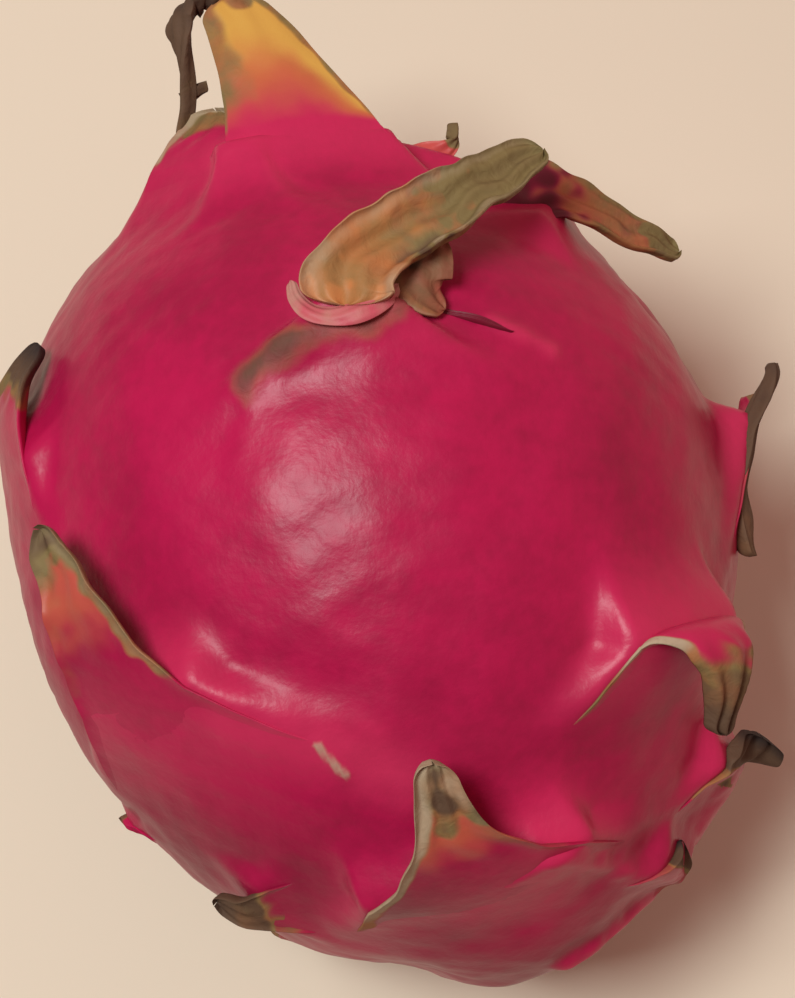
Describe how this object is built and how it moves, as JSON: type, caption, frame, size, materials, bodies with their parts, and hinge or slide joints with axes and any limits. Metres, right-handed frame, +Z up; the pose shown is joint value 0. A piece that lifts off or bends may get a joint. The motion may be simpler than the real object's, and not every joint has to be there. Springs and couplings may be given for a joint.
{
  "type": "dragon fruit",
  "caption": "Whole dragon fruit lying on its side, with leafy scales round its peel, a cut stem and a withered flower base.",
  "frame": {"origin": "middle of the small flat spot that the fruit lies on", "axes": "+Y along the fruit's axis from the stem end to the crown; +Z up, away from the surface; +X to the right, seen from above with the crown away"},
  "size_m": [0.0946, 0.1231, 0.0916],
  "materials": {
    "peel": "waxy, softly glossy fruit peel with slow mottling",
    "fleshy_scale": "waxy, crimson at the root, orange to olive at the tip, brown at the margins",
    "dried_scale": "matt and wrinkled, dried to brown and olive",
    "cut_stem": "matt green stalk with a pale, dried cut",
    "flower_base": "matt, withered and fibrous"
  },
  "bodies": {
    "root": {"peel": "peel", "crown_horn": "fleshy_scale", "crown_left_scale": "fleshy_scale", "crown_back_scale": "dried_scale", "crown_right_scale": "dried_scale", "crown_low_right_scale": "fleshy_scale", "crown_under_scale": "fleshy_scale", "crown_low_left_scale": "fleshy_scale", "crown_far_left_scale": "fleshy_scale", "top_strap_scale": "dried_scale", "right_ear_scale": "fleshy_scale", "left_rim_scale": "fleshy_scale", "under_right_scale": "fleshy_scale", "under_left_scale": "fleshy_scale", "left_shoulder_scale": "fleshy_scale", "right_shoulder_scale": "fleshy_scale", "far_right_scale": "fleshy_scale", "far_left_scale": "fleshy_scale", "low_left_scale": "fleshy_scale", "stem_top_scale": "fleshy_scale", "stem_left_scale": "dried_scale", "stem_right_scale": "dried_scale", "stem_small_scale": "fleshy_scale", "stem_under_right_scale": "fleshy_scale", "stem_under_left_scale": "fleshy_scale", "cut_stem": "cut_stem", "flower_base": "flower_base"}
  },
  "joints": []
}
